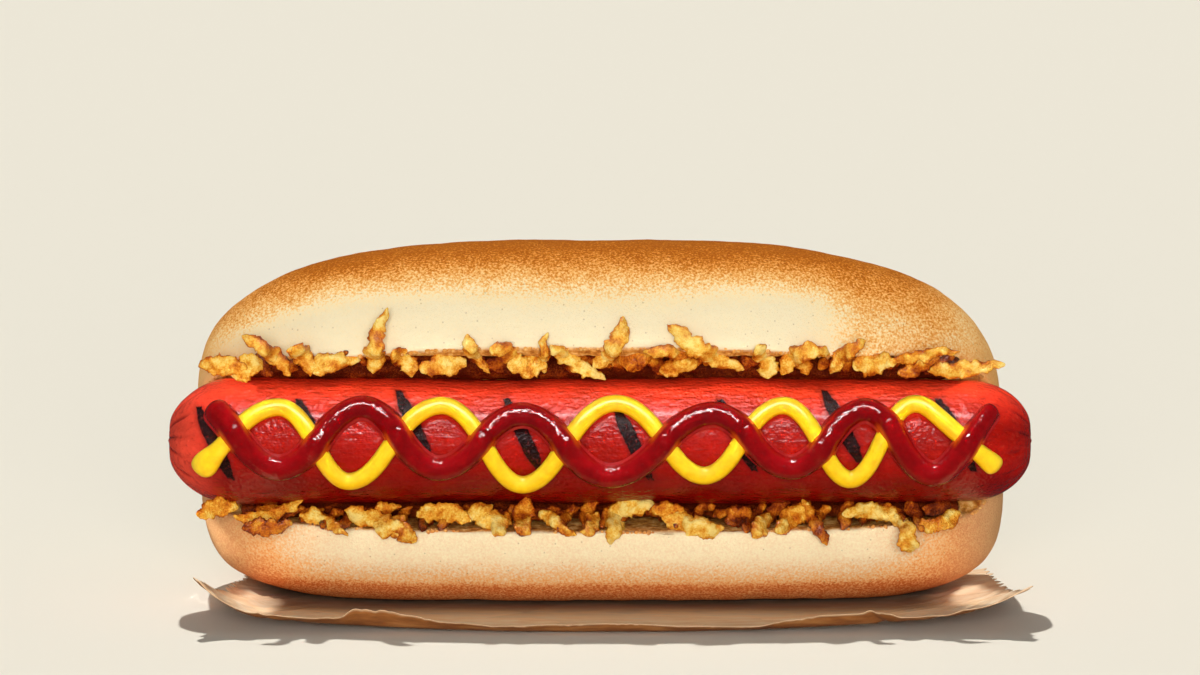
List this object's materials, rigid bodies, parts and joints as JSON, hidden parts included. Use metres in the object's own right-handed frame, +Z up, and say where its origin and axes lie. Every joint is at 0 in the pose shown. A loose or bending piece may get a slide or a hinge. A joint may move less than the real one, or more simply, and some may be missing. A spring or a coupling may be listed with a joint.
{
  "type": "hot dog",
  "caption": "Grilled sausage in a soft side-cut bun, with wavy lines of mustard and ketchup and crisp fried onions above and below, on a small sheet of greaseproof paper.",
  "frame": {"origin": "bottom centre of the whole, on the surface that the paper lies on", "axes": "+Z up, +X along the bun, and the open side of the bun faces -Y"},
  "size_m": [0.1712, 0.0776, 0.0721],
  "materials": {
    "bun_crust": "soft baked crust, golden brown on top and pale cream towards the cut",
    "sausage_skin": "taut grilled skin, glossy dark red with near-black grill marks",
    "ketchup": "wet glossy dark red sauce",
    "mustard": "smooth bright yellow sauce with a soft shine",
    "fried_onion": "crisp, rough, golden to dark brown",
    "greaseproof_paper": "thin unbleached greaseproof paper, slightly translucent and creased"
  },
  "bodies": {
    "root": {"bun": "bun_crust", "sausage": "sausage_skin", "onions_upper": "fried_onion", "onions_lower": "fried_onion", "paper": "greaseproof_paper"}
  },
  "joints": []
}
